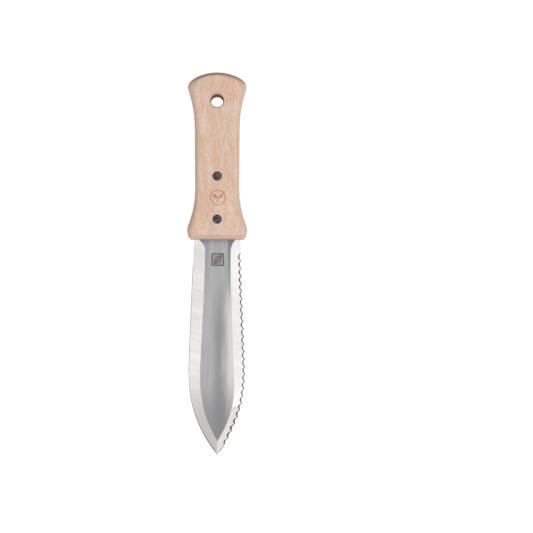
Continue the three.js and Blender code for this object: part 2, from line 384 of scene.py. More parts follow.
def plate(name, outline, low, high):
    """A flat plate of an outline of (x, z) pairs, between two depths."""
    count = len(outline)
    points = [(x, depth, z) for depth in (low, high) for x, z in outline]
    faces = tube_faces(2, count) + [tuple(range(count)), tuple(range(count, 2 * count))]
    obj = mesh_object(name, points, faces)
    tidy(obj)
    return obj


def smoothstep(value, low, high):
    t = min(max((value - low) / (high - low), 0), 1)
    return t * t * (3 - 2 * t)


# ---- Node helpers ----

class Paint:
    """A node material. Every call adds a node and gives back its output."""

    def __init__(self, name, metallic=0.0, specular=0.5):
        self.material = bpy.data.materials.new(name)
        self.material.use_nodes = True
        self.nodes = self.material.node_tree.nodes
        self.links = self.material.node_tree.links
        self.shader = self.nodes["Principled BSDF"]
        self.shader.inputs["Metallic"].default_value = metallic
        self.shader.inputs["Specular IOR Level"].default_value = specular
        self.place = self.scale(self.node("ShaderNodeTexCoord").outputs["Object"], (1 / MM,) * 3)

    def node(self, kind, **settings):
        made = self.nodes.new(kind)
        for key, value in settings.items():
            setattr(made, key, value)
        return made

    def feed(self, socket, value):
        if isinstance(value, bpy.types.NodeSocket):
            self.links.new(value, socket)
        else:
            socket.default_value = value

    def math(self, operation, a, b=0.0, c=0.0, clamp=False):
        made = self.node("ShaderNodeMath", operation=operation, use_clamp=clamp)
        for socket, value in zip(made.inputs, (a, b, c)):
            self.feed(socket, value)
        return made.outputs[0]

    def scale(self, vector, factors):
        made = self.node("ShaderNodeVectorMath", operation="MULTIPLY")
        self.feed(made.inputs[0], vector)
        made.inputs[1].default_value = factors
        return made.outputs[0]

    def offset(self, vector, amounts):
        made = self.node("ShaderNodeVectorMath", operation="ADD")
        self.feed(made.inputs[0], vector)
        self.feed(made.inputs[1], amounts)
        return made.outputs[0]

    def noise(self, vector, size=1.0, detail=2.0, roughness=0.5):
        made = self.node("ShaderNodeTexNoise")
        self.feed(made.inputs["Vector"], vector)
        made.inputs["Scale"].default_value = size
        made.inputs["Detail"].default_value = detail
        made.inputs["Roughness"].default_value = roughness
        return made.outputs["Fac"]

    def cells(self, vector):
        """The distance from the nearest cell's middle, and that cell's own colour."""
        made = self.node("ShaderNodeTexVoronoi")
        self.feed(made.inputs["Vector"], vector)
        made.inputs["Scale"].default_value = 1.0
        return made.outputs["Distance"], made.outputs["Color"]

    def ramp(self, value, low, high, to_low=0.0, to_high=1.0):
        """A smooth step from to_low, where the value is low, to to_high, where it is high."""
        made = self.node("ShaderNodeMapRange", interpolation_type="SMOOTHSTEP")
        for socket, number in zip(made.inputs, (value, low, high, to_low, to_high)):
            self.feed(socket, number)
        return made.outputs[0]

    def mix(self, factor, a, b):
        """Colour a where the factor is 0, and b where it is 1. Numbers 6, 7 and 2 are its colours."""
        made = self.node("ShaderNodeMix", data_type="RGBA")
        self.feed(made.inputs[0], factor)
        self.feed(made.inputs[6], a)
        self.feed(made.inputs[7], b)
        return made.outputs[2]

    def axes(self, vector):
        made = self.node("ShaderNodeSeparateXYZ")
        self.feed(made.inputs[0], vector)
        return made.outputs

    def gap(self, x, z, centre):
        """The distance of the point x, z from a fixed centre."""
        point = self.node("ShaderNodeCombineXYZ")
        self.feed(point.inputs[0], x)
        self.feed(point.inputs[2], z)
        made = self.node("ShaderNodeVectorMath", operation="DISTANCE")
        self.feed(made.inputs[0], point.outputs[0])
        made.inputs[1].default_value = (centre[0], 0, centre[1])
        return made.outputs["Value"]

    def line(self, distance, width, soft=0.18):
        """1 on a line of this width where the distance is 0, and 0 away from it."""
        return self.ramp(self.math("ABSOLUTE", distance), width / 2 - soft, width / 2 + soft, 1.0, 0.0)

    def leaf(self, x, z, base, tip, width):
        """The distance outside a pointed leaf, negative inside it, and the distance from its midrib."""
        dx, dz = tip[0] - base[0], tip[1] - base[1]
        length = math.hypot(dx, dz)
        nx, nz = -dz / length, dx / length
        reach = (length ** 2 - width ** 2) / (4 * width)
        middle = (base[0] + dx / 2, base[1] + dz / 2)
        centres = [(middle[0] + nx * side, middle[1] + nz * side) for side in (reach, -reach)]
        sides = [self.gap(x, z, centre) for centre in centres]
        outside = self.math("SUBTRACT", self.math("MAXIMUM", *sides), reach + width / 2)
        along_z = self.math("MULTIPLY_ADD", z, nz, -middle[0] * nx - middle[1] * nz)
        return outside, self.math("ADD", self.math("MULTIPLY", x, nx), along_z)

    def bump(self, height, distance, strength):
        made = self.node("ShaderNodeBump")
        made.inputs["Strength"].default_value = strength
        made.inputs["Distance"].default_value = distance * MM
        self.feed(made.inputs["Height"], height)
        return made.outputs[0]

    def done(self, colour, roughness, normal):
        self.feed(self.shader.inputs["Base Color"], colour)
        self.feed(self.shader.inputs["Roughness"], roughness)
        self.feed(self.shader.inputs["Normal"], normal)
        return self.material


# ---- Wood ----

def seedling(paint, x, z):
    """The burnt mark: a ring around a plain two-leaved seedling."""
    x = paint.math("SUBTRACT", x, BRAND["x"])
    wide = paint.math("ABSOLUTE", x)
    up = paint.math("SUBTRACT", z, BRAND["z"])
    ring = paint.line(paint.math("SUBTRACT", paint.gap(x, up, (0, 0)), BRAND["radius"]), BRAND["line"])
    outside, rib = paint.leaf(wide, up, LEAF_PAIR["base"], LEAF_PAIR["tip"], LEAF_PAIR["width"])
    leaf = paint.ramp(outside, -0.15, 0.15, 1.0, 0.0)
    vein = paint.line(rib, 0.35, 0.12)
    leaf = paint.math("SUBTRACT", leaf, paint.math("MULTIPLY", vein, 0.7), clamp=True)
    height = paint.line(paint.math("ADD", up, LEAF_PAIR["stem_drop"]), LEAF_PAIR["stem"])
    stem = paint.math("MULTIPLY", paint.line(x, 0.8), height)
    return paint.math("MAXIMUM", ring, paint.math("MAXIMUM", leaf, stem))


def beech():
    """Pale beech, grain along z: soft bands, fine fibres, short dark rays, end grain, a burnt mark, and
    painted shade on the rounded sides and over the crown's end grain.
    """
    paint = Paint("beech", specular=0.3)
    x, y, z = paint.axes(paint.place)
    wander = paint.noise(paint.scale(paint.place, (0.02, 0.02, 0.012)), detail=1)
    drift = paint.node("ShaderNodeCombineXYZ")
    paint.feed(drift.inputs[0], paint.math("MULTIPLY", paint.math("SUBTRACT", wander, 0.5), GRAIN_DRIFT))
    grain = paint.offset(paint.place, drift.outputs[0])
    band = paint.noise(paint.scale(grain, (0.16, 0.16, 0.013)), detail=4, roughness=0.6)
    patch = paint.noise(paint.scale(grain, (0.06, 0.06, 0.035)), detail=3)
    fibre = paint.noise(paint.scale(grain, (2.2, 2.2, 0.1)), detail=5, roughness=0.62)
    colour = paint.mix(paint.ramp(band, 0.32, 0.68), BEECH["tan"], BEECH["pale"])
    colour = paint.mix(paint.ramp(patch, 0.42, 0.66, 0, 0.75), colour, BEECH["orange"])
    colour = paint.mix(paint.ramp(fibre, 0.3, 0.7, 0.35, 0), colour, BEECH["fleck"])
    flecks = 0.0
    for across, along, strength, shift in FLECKS:
        stretched = paint.scale(paint.offset(grain, (shift, 0, shift)), (across, across, along))
        near, tint = paint.cells(stretched)
        chosen = paint.ramp(paint.axes(tint)[0], 0.3, 0.9)
        spot = paint.math("MULTIPLY", paint.ramp(near, 0.1, 0.5, strength, 0.0), chosen)
        flecks = paint.math("MAXIMUM", flecks, spot)
    colour = paint.mix(flecks, colour, BEECH["fleck"])

    from_hole = paint.gap(x, z, (0, 0))
    mouth = HOLE_RADIUS + HOLE_CHAMFER
    rim = paint.ramp(from_hole, mouth + 0.15, mouth - 0.1, 0, 0.9)
    colour = paint.mix(rim, colour, BEECH["rim"])
    burnish = paint.line(paint.math("SUBTRACT", from_hole, BURNISH_RADIUS), 0.8, 0.3)
    broken = paint.ramp(paint.noise(paint.scale(paint.place, (0.25, 0.25, 0.25))), 0.4, 0.6, 0, 0.65)
    burnish = paint.math("MULTIPLY", burnish, paint.ramp(paint.math("ADD", x, z), -3.0, 4.0))
    colour = paint.mix(paint.math("MULTIPLY", burnish, broken), colour, BEECH["fleck"])

    normal_x, _, normal_z = paint.axes(paint.node("ShaderNodeNewGeometry").outputs["Normal"])
    # Painted shade: the rounded sides, found by their normals, turn darker towards the side colour
    side = paint.ramp(paint.math("ABSOLUTE", normal_x), 0.02, 0.6, 0, 0.3)
    colour = paint.mix(side, colour, BEECH["side"])
    # The crown's chamfer: real end grain with darker pores, made darker overall and towards its back edge as
    # painted shade
    pores, _ = paint.cells(paint.scale(paint.place, (2.4, 2.4, 1.2)))
    crown = paint.mix(paint.ramp(pores, -0.1, 0.4), BEECH["end_dark"], BEECH["end_mid"])
    crown = paint.mix(paint.ramp(x, -6.0, -18.0, 0, 0.4), crown, BEECH["end_grey"])
    depth = paint.math("SUBTRACT", FACE, paint.math("ABSOLUTE", y))
    deep = paint.ramp(depth, 0.45 * CROWN_CHAMFER_DEPTH, CROWN_CHAMFER_DEPTH, 0.0, 0.85)
    crown = paint.mix(deep, crown, BEECH["end_dark"])
    from_centre = paint.gap(x, z, (0, HANDLE_TOP - CROWN_RADIUS))
    from_arc = paint.math("SUBTRACT", from_centre, CROWN_RADIUS - FLAT_INSET["crown"])
    past_arc = paint.ramp(from_arc, -0.35, 0.45, 0, 0.95)
    crown_part = paint.math("MULTIPLY", past_arc, paint.ramp(z, *CROWN_HEIGHTS))
    colour = paint.mix(crown_part, colour, crown)
    low_end = paint.mix(paint.ramp(pores, 0.1, 0.6), BEECH["end_tan"], BEECH["end_grey"])
    lowest = paint.ramp(z, HANDLE_END + 0.8, HANDLE_END + 0.3, 0, 0.85)
    low_end = paint.mix(lowest, low_end, BEECH["end_edge"])
    facing_down = paint.ramp(normal_z, -0.3, -0.6, 0, 0.85)
    end_part = paint.math("MULTIPLY", facing_down, paint.ramp(z, HANDLE_END + 7.0, HANDLE_END + 4.0))
    colour = paint.mix(end_part, colour, low_end)

    arris = paint.line(paint.math("SUBTRACT", z, HANDLE_END + FLAT_INSET["end"]), 0.6, 0.2)
    arris = paint.math("MULTIPLY", arris, paint.ramp(broken, 0.0, 0.6, 0.35, 0.9))
    colour = paint.mix(arris, colour, BEECH["end_line"])

    brand = paint.math("MULTIPLY", seedling(paint, x, z), paint.ramp(y, -1.0, -2.0))
    scorch = paint.ramp(paint.noise(paint.scale(paint.place, (0.9, 0.9, 0.9)), detail=3), 0.3, 0.6, 0.7, 1.0)
    colour = paint.mix(paint.math("MULTIPLY", brand, scorch), colour, BEECH["burnt"])

    roughness = paint.ramp(fibre, 0.2, 0.8, 0.62, 0.5)
    relief = paint.math("SUBTRACT", paint.math("MULTIPLY", fibre, 0.5), paint.math("MULTIPLY", flecks, 0.5))
    relief = paint.math("SUBTRACT", relief, paint.math("MULTIPLY", brand, 3.0))
    return paint.done(colour, roughness, paint.bump(relief, 0.05, 0.5))


def drilled_beech():
    """The wall of the hanging hole: browned by the drill, with fine turned lines."""
    paint = Paint("hole_wall", specular=0.3)
    blotch = paint.noise(paint.scale(paint.place, (0.8, 0.8, 0.5)), detail=4, roughness=0.65)
    turned_line = paint.noise(paint.scale(paint.place, (0.1, 3.5, 0.1)), detail=2)
    tone = paint.math("ADD", paint.math("MULTIPLY", blotch, 0.6), paint.math("MULTIPLY", turned_line, 0.4))
    colour = paint.mix(paint.ramp(tone, 0.35, 0.65), BEECH["drilled_dark"], BEECH["drilled_light"])
    return paint.done(colour, paint.ramp(tone, 0.2, 0.8, 0.75, 0.6), paint.bump(tone, 0.05, 0.6))


# ---- Steel ----

def etched_leaf(paint, x, z):
    """The etched mark: a rounded square frame around a plain leaf. Gives its lines and its ground."""
    half, corner = ETCHING["half"], ETCHING["corner"]
    x = paint.math("SUBTRACT", x, ETCHING["x"])
    up = paint.math("SUBTRACT", z, ETCHING["z"])
    beyond_x = paint.math("MAXIMUM", paint.math("SUBTRACT", paint.math("ABSOLUTE", x), half - corner), 0.0)
    beyond_z = paint.math("MAXIMUM", paint.math("SUBTRACT", paint.math("ABSOLUTE", up), half - corner), 0.0)
    from_frame = paint.math("SUBTRACT", paint.gap(beyond_x, beyond_z, (0, 0)), corner)
    inner = paint.math("MAXIMUM", paint.math("ABSOLUTE", x), paint.math("ABSOLUTE", up))
    ground = paint.ramp(from_frame, -0.2, 0.1, 1.0, 0.0)
    within = half - ETCHING["line"]
    border = paint.math("MULTIPLY", ground, paint.ramp(inner, within - 0.2, within + 0.2))
    outside, rib = paint.leaf(x, up, ETCHED_LEAF["base"], ETCHED_LEAF["tip"], ETCHED_LEAF["width"])
    inside = paint.ramp(outside, -0.1, 0.1, 1.0, 0.0)
    right, rise = ETCHED_LEAF["direction"]
    along = paint.math("ADD", paint.math("MULTIPLY", x, right), paint.math("MULTIPLY", up, rise))
    slant = paint.math("SUBTRACT", along, paint.math("ABSOLUTE", rib))
    fold = paint.math("PINGPONG", slant, ETCHED_LEAF["vein_gap"])
    veins = paint.math("MULTIPLY", paint.line(fold, 0.5), inside)
    midrib = paint.math("MULTIPLY", paint.line(rib, 0.5), inside)
    lines = paint.math("MAXIMUM", border, paint.line(outside, 0.7))
    lines = paint.math("MAXIMUM", lines, paint.math("MAXIMUM", veins, midrib))
    return lines, ground


def brushed_dish():
    """The dish: brushed lengthwise, with an etched mark, and painted reflections: bluer at its left, brighter
    at its right, darker down its middle, along its flanks by the handle and towards the tip, with a painted
    shadow by the handle.
    """
    paint = Paint("dish_steel", metallic=1.0)
    x, _, z = paint.axes(paint.place)
    line = paint.noise(paint.scale(paint.place, (2.4, 0.5, 0.05)), detail=5, roughness=0.75)
    broad = paint.noise(paint.scale(paint.place, (0.16, 0.1, 0.022)), detail=4, roughness=0.6)
    scratch = paint.noise(paint.scale(paint.place, (5.0, 1.0, 0.07)), detail=3, roughness=0.6)
    colour = paint.mix(paint.ramp(broad, 0.3, 0.7), STEEL["dish_dark"], STEEL["dish_light"])
    colour = paint.mix(paint.ramp(line, 0.36, 0.62, 0.48, 0.0), colour, STEEL["dish_line"])
    colour = paint.mix(paint.ramp(scratch, 0.55, 0.75, 0.0, 0.25), colour, STEEL["dish_bright"])
    # Painted reflection: a brighter patch at the right of the dish between the middle heights
    from_below = paint.ramp(z, *TONE_HEIGHTS["bright_from_below"])
    from_above = paint.ramp(z, *TONE_HEIGHTS["bright_from_above"])
    middle = paint.math("MULTIPLY", from_below, from_above)
    wavy = paint.math("ADD", x, paint.math("MULTIPLY", paint.math("SUBTRACT", broad, 0.5), 8.0))
    bright = paint.math("MULTIPLY", paint.ramp(wavy, 1.5, 11.0), middle)
    colour = paint.mix(paint.math("MULTIPLY", bright, 0.68), colour, STEEL["dish_bright"])
    # Painted reflection: bluer towards the left, and blue-grey flanks by the handle
    colour = paint.mix(paint.ramp(x, -4.0, -12.0, 0, 0.6), colour, STEEL["dish_blue"])
    near_handle = paint.ramp(z, *TONE_HEIGHTS["flanks"])
    left_flank = paint.math("MULTIPLY", paint.ramp(x, -4.6, -8.0, 0, 0.6), near_handle)
    right_flank = paint.math("MULTIPLY", paint.ramp(x, 7.2, 9.8), near_handle)
    colour = paint.mix(left_flank, colour, STEEL["flank_blue"])
    colour = paint.mix(right_flank, colour, STEEL["flank_dark"])
    # Painted reflection: darker down the middle and towards the tip
    core = paint.math("MULTIPLY", paint.ramp(wavy, -7.0, 2.0), paint.ramp(wavy, 9.0, 3.0))
    core = paint.math("MULTIPLY", core, paint.ramp(z, *TONE_HEIGHTS["core"], 0, 0.6))
    colour = paint.mix(core, colour, STEEL["dish_low"])
    colour = paint.mix(paint.ramp(z, *TONE_HEIGHTS["low"], 0, 0.7), colour, STEEL["dish_low"])
    shadow = paint.ramp(z, BLADE_ROOT - 2.5, BLADE_ROOT, 0, 0.3)
    colour = paint.mix(shadow, colour, STEEL["flank_blue"])
    lines, ground = etched_leaf(paint, x, z)
    mottle = paint.noise(paint.scale(paint.place, (1.5, 1.5, 1.5)), detail=3)
    dull = paint.math("MULTIPLY", ground, paint.ramp(mottle, 0.35, 0.65, 0.2, 0.5))
    colour = paint.mix(dull, colour, STEEL["etched"])
    dark = paint.math("MULTIPLY", lines, paint.ramp(mottle, 0.3, 0.6, 0.8, 1.0))
    colour = paint.mix(dark, colour, STEEL["etched"])
    brushed = paint.ramp(line, 0.25, 0.75, 0.46, 0.34)
    roughness = paint.math("ADD", brushed, paint.math("MULTIPLY", lines, 0.2))
    relief = paint.math("SUBTRACT", paint.math("ADD", line, paint.math("MULTIPLY", scratch, 0.5)), lines)
    return paint.done(colour, roughness, paint.bump(relief, 0.012, 0.5))


def ground_bevel():
    """The bevels: bright, with faint grinding lines that slope across them; the right one is painted brighter
    than the left as painted light, with painted shade near the handle and on the point's facets.
    """
    paint = Paint("bevel_steel", metallic=1.0)
    x, _, z = paint.axes(paint.place)
    slanted = paint.math("ADD", z, paint.math("MULTIPLY", x, 0.2))
    along = paint.node("ShaderNodeCombineXYZ")
    paint.feed(along.inputs[0], paint.math("MULTIPLY", x, 0.05))
    paint.feed(along.inputs[2], slanted)
    fine = paint.noise(along.outputs[0], size=1.5, detail=5, roughness=0.7)
    wide = paint.noise(along.outputs[0], size=0.16, detail=3)
    streak = paint.noise(paint.scale(paint.place, (1.2, 1.2, 0.05)), detail=3)
    # Painted light: the right bevel is brighter than the left
    left = paint.mix(paint.ramp(wide, 0.35, 0.65), STEEL["bevel_left_dull"], STEEL["bevel_left"])
    right = paint.mix(paint.ramp(wide, 0.35, 0.65), STEEL["bevel_right_dull"], STEEL["bevel_right"])
    colour = paint.mix(paint.ramp(x, -1.0, 1.0), left, right)
    # Painted reflection: the bevels turn darker near the handle
    by_handle = paint.ramp(z, *TONE_HEIGHTS["bevels_by_handle"], 0.0, 0.6)
    colour = paint.mix(by_handle, colour, STEEL["bevel_line"])
    colour = paint.mix(paint.ramp(fine, 0.5, 0.75, 0.0, 0.4), colour, STEEL["bevel_line"])
    colour = paint.mix(paint.ramp(streak, 0.55, 0.7, 0.0, 0.25), colour, STEEL["bevel_line"])
    # Painted shade: the point's left facet, and the reground facet at the right of the point, are darker
    left_point = paint.ramp(z, *TONE_HEIGHTS["left_point"])
    left_point = paint.math("MULTIPLY", left_point, paint.ramp(x, 0.15, -0.15))
    colour = paint.mix(paint.math("MULTIPLY", left_point, 0.95), colour, STEEL["point_left"])
    from_line = paint.math("SUBTRACT", z, paint.math("MULTIPLY", x, REGROUND["slope"]))
    reground = paint.ramp(from_line, REGROUND["z"] + REGROUND["soft"], REGROUND["z"] - REGROUND["soft"])
    right_point = paint.math("MULTIPLY", reground, paint.ramp(x, -0.15, 0.15))
    colour = paint.mix(right_point, colour, STEEL["point_right"])
    roughness = paint.ramp(fine, 0.25, 0.75, 0.42, 0.3)
    return paint.done(colour, roughness, paint.bump(fine, 0.008, 0.5))


def dull_steel(name, dark, light, rough, size):
    """Plain steel with a cloudy, slightly stained surface."""
    paint = Paint(name, metallic=1.0)
    cloud = paint.noise(paint.scale(paint.place, (size, size, size)), detail=5, roughness=0.62)
    line = paint.noise(paint.scale(paint.place, (2.4, 2.4, 0.04)), detail=3, roughness=0.6)
    tone = paint.math("ADD", paint.math("MULTIPLY", cloud, 0.6), paint.math("MULTIPLY", line, 0.4))
    colour = paint.mix(paint.ramp(tone, 0.35, 0.65), dark, light)
    roughness = paint.ramp(cloud, 0.3, 0.7, rough + 0.08, rough - 0.08)
    return paint.done(colour, roughness, paint.bump(tone, 0.02, 0.4))


def brushed_back():
    """The back and the tang: brushed lengthwise, with a few faint stains."""
    paint = Paint("back_steel", metallic=1.0)
    line = paint.noise(paint.scale(paint.place, (2.2, 2.2, 0.03)), detail=5, roughness=0.7)
    broad = paint.noise(paint.scale(paint.place, (0.2, 0.2, 0.02)), detail=4, roughness=0.6)
    stain = paint.noise(paint.scale(paint.place, (0.07, 0.07, 0.05)), detail=5, roughness=0.6)
    colour = paint.mix(paint.ramp(broad, 0.3, 0.7), STEEL["dish_dark"], STEEL["dish_light"])
    colour = paint.mix(paint.ramp(line, 0.35, 0.7, 0.35, 0.0), colour, STEEL["dish_line"])
    colour = paint.mix(paint.ramp(stain, 0.55, 0.75, 0, 0.35), colour, STEEL["flank_blue"])
    brushed = paint.ramp(line, 0.25, 0.75, 0.44, 0.32)
    roughness = paint.math("ADD", brushed, paint.ramp(stain, 0.5, 0.8, 0, 0.1))
    return paint.done(colour, roughness, paint.bump(line, 0.012, 0.5))


def rivet_steel():
    """Darkened rivet steel: mottled, with painted highlight rings around each head's middle."""
    paint = Paint("rivet_metal", metallic=1.0)
    x, _, z = paint.axes(paint.place)
    cloud = paint.noise(paint.scale(paint.place, (0.9, 0.9, 0.9)), detail=5, roughness=0.65)
    middle = sum(RIVETS.values()) / 2
    apart = abs(RIVETS["upper"] - middle)
    folded = paint.math("ABSOLUTE", paint.math("SUBTRACT", z, middle))
    radius = paint.gap(x, folded, (0, apart))
    wobble = paint.math("ADD", radius, paint.math("MULTIPLY", cloud, 1.2))
    rings = [paint.line(paint.math("SUBTRACT", wobble, ring), 0.5, 0.3) for ring in HEAD_RINGS]
    colour = paint.mix(paint.ramp(cloud, 0.35, 0.65), STEEL["rivet_dark"], STEEL["rivet_light"])
    patch = paint.noise(paint.scale(paint.place, (0.35, 0.35, 0.35)), detail=2)
    # Painted highlight: light rings around each head's middle, broken up by a noise patch
    highlight = paint.math("MULTIPLY", paint.math("MAXIMUM", *rings), paint.ramp(patch, 0.42, 0.62, 0, 0.38))
    colour = paint.mix(highlight, colour, STEEL["rivet_highlight"])
    colour = paint.mix(paint.ramp(radius, 2.9, 3.5, 0, 0.4), colour, STEEL["rivet_dark"])
    return paint.done(colour, paint.ramp(cloud, 0.3, 0.7, 0.5, 0.34), paint.bump(wobble, 0.05, 0.3))


# ---- Blade ----

def point_run(z):
    return min(max((BELLY - z) / (BELLY - BLADE_TIP), 0), 1)


def half_width(z):
    """Half the width of the blade before the scallops are cut."""
    if z > BELLY:
        run = min(max((BLADE_ROOT - z) / (BLADE_ROOT - BELLY), 0), 1)
        return ROOT_HALF + (BELLY_HALF - ROOT_HALF) * (1 - (1 - run) ** BELLY_POWER)
    return BELLY_HALF * (1 - point_run(z) ** POINT_POWER)


def dish(x, z):
    """How far the sheet is pressed forward at x. A flat strip by the handle narrows away below it."""
    down = BLADE_ROOT - z
    strip = FLAT_STRIP_HALF * max(0, 1 - down / DISH_RUN)
    share = 0.5 + 0.5 * smoothstep(down, 0, DISH_RUN)
    return share * max(0, abs(x) - strip) ** 2 / (2 * DISH_RADIUS)


def bevel_meeting(z, side):
    """How far from the centre line the bevel meets the dish on one side: -1 is left, 1 is right."""
    down = BLADE_ROOT - z
    run = min(down / (BLADE_ROOT - BELLY), 1)
    point = point_run(z)
    if side < 0:
        bevel = LEFT_BEVEL
        width = bevel["width"] + bevel["bulge"] * math.sin(math.pi * run) + bevel["point"] * point
    else:
        bevel = RIGHT_BEVEL
        width = bevel["width"] + bevel["gain"] * run + bevel["root"] * math.exp(-down / bevel["root_fade"])
        width = width + bevel["point"] * point + bevel["point_curve"] * point ** 2
    flare = bevel["flare"] * max(0, 1 - down / RUNOUT) ** 2
    return max(0, half_width(z) - width) + flare


def bevel_line(z, side):
    """The bevel's two ends at one height: (x, depth) where it meets the dish, and at the edge."""
    half = half_width(z)
    meeting = bevel_meeting(z, side)
    lift = RUNOUT_LIFT * max(0, 1 - (BLADE_ROOT - z) / RUNOUT) ** 2
    edge = dish(half, z) - STOCK / 2 + EDGE + lift
    top = dish(meeting, z) + STOCK / 2
    if meeting == 0:
        top = min(top, edge + RIDGE_SLOPE * half)
    return (meeting, top), (half, edge)


def scallop_centres():
    centres = [FIRST_SCALLOP]
    for count, pitch in SCALLOP_SPACINGS:
        for _ in range(count):
            centres.append(centres[-1] - pitch)
    return centres


CENTRES = scallop_centres()


def scallop_depth_centre(centre):
    """Where a scallop's valley is. The first few and the last two are cut less deep."""
    first = max(0, 1 - (CENTRES[0] - centre) / SHALLOW_START["reach"])
    last = max(0, 1 - (centre - CENTRES[-1]) / SHALLOW_END["reach"])
    return half_width(centre) - SCALLOP_INSET + SHALLOW_START["by"] * first + SHALLOW_END["by"] * last


def scalloped_half(z):
    """Half the width on the scalloped side, and whether a scallop is cut at this height."""
    cut = math.inf
    for centre in CENTRES:
        away = abs(z - centre)
        if away < SCALLOP_REACH * SCALLOP_RADIUS:
            rise = SCALLOP_RADIUS - math.sqrt(SCALLOP_RADIUS ** 2 - away ** 2)
            cut = min(cut, scallop_depth_centre(centre) + rise / math.sin(SCALLOP_TILT))
    half = half_width(z)
    return min(half, cut), cut < half


def cusp_between(upper, lower):
    """The height where two neighbouring scallops meet."""
    pitch = upper - lower
    curve = 1 / (2 * SCALLOP_RADIUS * math.sin(SCALLOP_TILT))
    step = scallop_depth_centre(lower) - scallop_depth_centre(upper)
    return upper - pitch / 2 - step / (2 * curve * pitch)


def blade_heights():
    """The heights of the blade's rows: dense, with one exactly at each cusp and each valley."""
    keys = [BLADE_ROOT, BLADE_ROOT - RUNOUT, CENTRES[0] + ABOVE_FIRST_SCALLOP]
    for upper, lower in zip(CENTRES, CENTRES[1:]):
        keys += [upper, cusp_between(upper, lower)]
    keys += [CENTRES[-1], CENTRES[-1] - BELOW_LAST_SCALLOP, BLADE_TIP]
    keys = sorted(set(keys), reverse=True)
    heights = [keys[0]]
    for high, low in zip(keys, keys[1:]):
        steps = max(2, round((high - low) / ROW_STEP))
        heights += [high + (low - high) * (i + 1) / steps for i in range(steps)]
    return heights


EDGE_ZONE, BEVEL_ZONE, DISH_ZONE, SCALLOP_ZONE, BACK_ZONE = range(5)


def spread(start, end, count):
    return [start + (end - start) * i / count for i in range(count)]


def strip(start, end, count, zone):
    """Points of one zone from the (x, depth) start up to but not including the end."""
    xs = spread(start[0], end[0], count)
    depths = spread(start[1], end[1], count)
    return [(x, depth, zone) for x, depth in zip(xs, depths)]


def blade_row(z):
    """The points around the blade at one height, from the left edge over the front and back behind."""
    half = half_width(z)
    down = BLADE_ROOT - z
    gained = KEEN_WIDTH["gain"] * smoothstep(down, KEEN_WIDTH["from"], KEEN_WIDTH["to"])
    keen = KEEN_WIDTH["root"] + gained + KEEN_WIDTH["point"] * point_run(z) ** 3
    keen = min(keen, MOST_KEEN_SHARE * half)

    (inner, top), (outer, edge) = bevel_line(z, -1)
    slope = (top - edge) / max(outer - inner, LEAST_WIDTH)
    keen_top = edge + slope * keen
    low = dish(half, z) - STOCK / 2 + KEEN_EDGE
    keen_end = (keen - half, keen_top)
    row = strip((-half, low), keen_end, EDGE_COLUMNS, EDGE_ZONE)
    row += strip(keen_end, (-inner, top), BEVEL_COLUMNS, BEVEL_ZONE)

    (right_inner, right_top), (right_outer, right_edge) = bevel_line(z, 1)
    for x in spread(-inner, right_inner, FACE_COLUMNS):
        depth = dish(x, z) + STOCK / 2
        row.append((x, depth if inner > 0 else top, DISH_ZONE))

    tip_x, cut = scalloped_half(z)
    slope = (right_top - right_edge) / max(right_outer - right_inner, LEAST_WIDTH)
    tilt = math.tan(SCALLOP_TILT)
    tip_low = dish(tip_x, z) - STOCK / 2 + KEEN_EDGE
    if cut:
        groove_top = (tip_low + tilt * tip_x - right_edge - slope * right_outer) / (tilt - slope)
        groove_top = min(groove_top, tip_x - LEAST_SCALLOP_FACE)
    else:
        narrow, wide = PAST_SCALLOPS["above_belly"], PAST_SCALLOPS["below_belly"]
        groove_top = tip_x - (narrow if z > BELLY else min(wide, MOST_KEEN_SHARE * half))
    groove_top = max(groove_top, right_inner + LEAST_BEVEL_SHARE * (tip_x - right_inner))
    groove_depth = right_edge + slope * (right_outer - groove_top)
    groove = (groove_top, groove_depth)
    row += strip((right_inner, right_top), groove, BEVEL_COLUMNS, BEVEL_ZONE)
    row += strip(groove, (tip_x, tip_low), SCALLOP_COLUMNS, SCALLOP_ZONE)
    row.append((tip_x, tip_low, SCALLOP_ZONE))
    for x in spread(tip_x, -half, FACE_COLUMNS):
        row.append((x, dish(x, z) - STOCK / 2, BACK_ZONE))
    row.append((-half, dish(half, z) - STOCK / 2, EDGE_ZONE))
    return row


